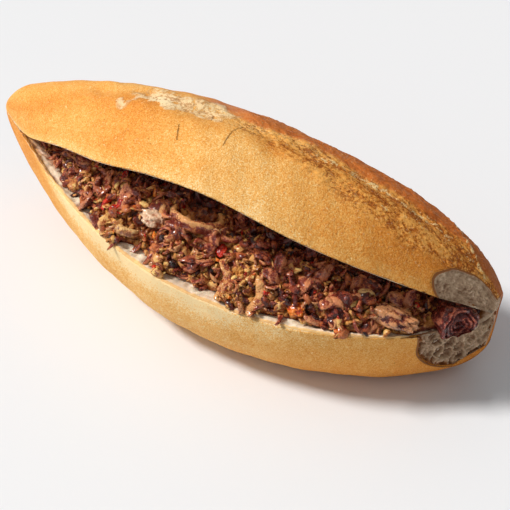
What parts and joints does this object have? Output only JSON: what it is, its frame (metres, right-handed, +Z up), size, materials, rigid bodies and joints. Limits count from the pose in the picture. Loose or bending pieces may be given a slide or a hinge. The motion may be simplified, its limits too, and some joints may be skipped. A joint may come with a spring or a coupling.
{
  "type": "kokorec sandwich",
  "caption": "Spindle loaf slit along its front and opened like a jaw, cut off at one end, packed with chopped braised meat, curled pieces, pepper and tomato.",
  "frame": {"origin": "centre of the bounding box at its bottom, on the surface that the loaf rests on", "axes": "+X along the loaf towards its cut end, -Y out of the mouth, +Z up"},
  "size_m": [0.2812, 0.0976, 0.1144],
  "materials": {
    "baked_crust": "matte golden-brown baked crust, cream crumb inside",
    "chopped_meat": "moist chopped braised meat, brown to dark red",
    "roll_meat": "glossy dark red-brown meat",
    "braised_gut": "glossy braised red-brown",
    "tan_gut": "moist tan",
    "pale_fat": "moist pale pink fat",
    "red_pepper": "wet bright red",
    "tomato": "wet orange-red"
  },
  "bodies": {
    "root": {"bread": "baked_crust", "chopped_filling": "chopped_meat", "end_roll": "roll_meat", "gut_ring": "braised_gut", "gut_strip_1": "braised_gut", "gut_strip_2": "braised_gut", "gut_curl": "tan_gut", "tan_slice": "tan_gut", "oval_piece": "tan_gut", "fat_piece": "pale_fat", "long_piece": "roll_meat", "pepper_strip_1": "red_pepper", "pepper_strip_2": "red_pepper", "pepper_piece": "red_pepper", "tomato_piece": "tomato"}
  },
  "joints": []
}
